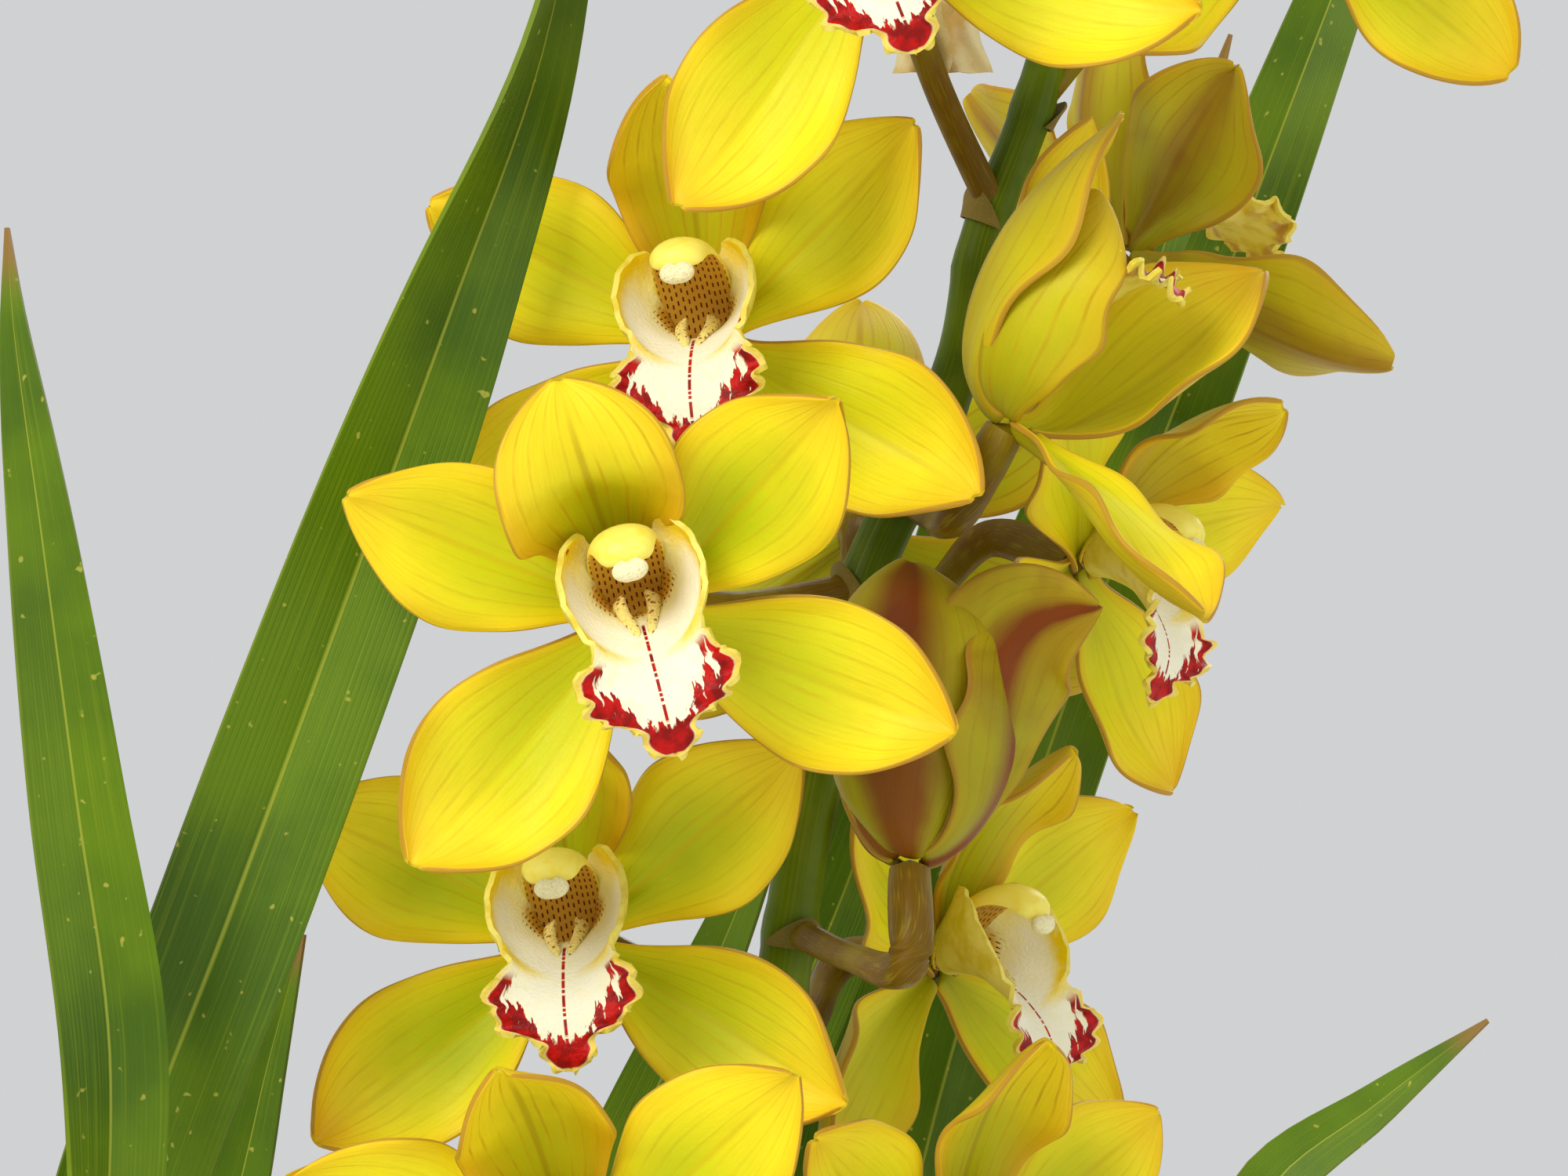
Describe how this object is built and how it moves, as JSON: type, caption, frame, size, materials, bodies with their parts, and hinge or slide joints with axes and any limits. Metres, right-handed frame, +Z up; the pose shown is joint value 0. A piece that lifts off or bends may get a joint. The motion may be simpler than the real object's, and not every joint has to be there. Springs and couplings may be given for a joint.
{
  "type": "potted orchid",
  "caption": "Yellow cymbidium orchid in a round clay pot of bark, with strap leaves, a leaning flower spike and red-marked lips.",
  "frame": {"origin": "centre of the pot's underside, on the ground", "axes": "+Z up from the pot's foot to the spike's tip; the best flowers face -Y; the spike leans to +X"},
  "size_m": [0.6432, 0.2631, 0.877],
  "materials": {
    "clay_pot": "plain unglazed fired clay",
    "bark": "damp coarse bark",
    "pseudobulb": "living green storage bulb, satin, with dry sheath lines",
    "leaf": "living strap leaf, satin, with lengthwise veins",
    "flower_stem": "living stem, satin green shading to purple brown",
    "perianth": "living petal, waxy satin yellow with fine brown veins",
    "lip": "living petal, cream with crimson blotches and a frilled yellow edge",
    "column": "living tissue, waxy yellow with a cream anther cap",
    "bud": "living bud, satin olive yellow",
    "paper_tag": "blank torn cream paper"
  },
  "bodies": {
    "root": {"pot": "clay_pot", "bark_medium": "bark", "pseudobulb_left": "pseudobulb", "pseudobulb_middle": "pseudobulb", "pseudobulb_right": "pseudobulb", "leaf_01": "leaf", "leaf_02": "leaf", "leaf_03": "leaf", "leaf_04": "leaf", "leaf_05": "leaf", "leaf_06": "leaf", "leaf_07": "leaf", "leaf_08": "leaf", "leaf_09": "leaf", "leaf_10": "leaf", "leaf_11": "leaf", "flower_stem": "flower_stem", "flower_01_perianth": "perianth", "flower_01_lip": "lip", "flower_01_column": "column", "flower_02_perianth": "perianth", "flower_02_lip": "lip", "flower_02_column": "column", "flower_03_perianth": "perianth", "flower_03_lip": "lip", "flower_03_column": "column", "flower_04_perianth": "perianth", "flower_04_lip": "lip", "flower_04_column": "column", "flower_05_perianth": "perianth", "flower_05_lip": "lip", "flower_05_column": "column", "flower_06_perianth": "perianth", "flower_06_lip": "lip", "flower_06_column": "column", "flower_07_perianth": "perianth", "flower_07_lip": "lip", "flower_07_column": "column", "flower_08_perianth": "perianth", "flower_08_lip": "lip", "flower_08_column": "column", "flower_09_perianth": "perianth", "flower_09_lip": "lip", "flower_09_column": "column", "flower_10_perianth": "perianth", "flower_10_lip": "lip", "flower_10_column": "column", "flower_11_perianth": "perianth", "flower_11_lip": "lip", "flower_11_column": "column", "flower_12_perianth": "perianth", "flower_12_lip": "lip", "flower_12_column": "column", "flower_13_perianth": "perianth", "flower_13_lip": "lip", "flower_13_column": "column", "bud_lower": "bud", "bud_middle": "bud", "bud_upper": "bud", "paper_tag": "paper_tag"}
  },
  "joints": []
}
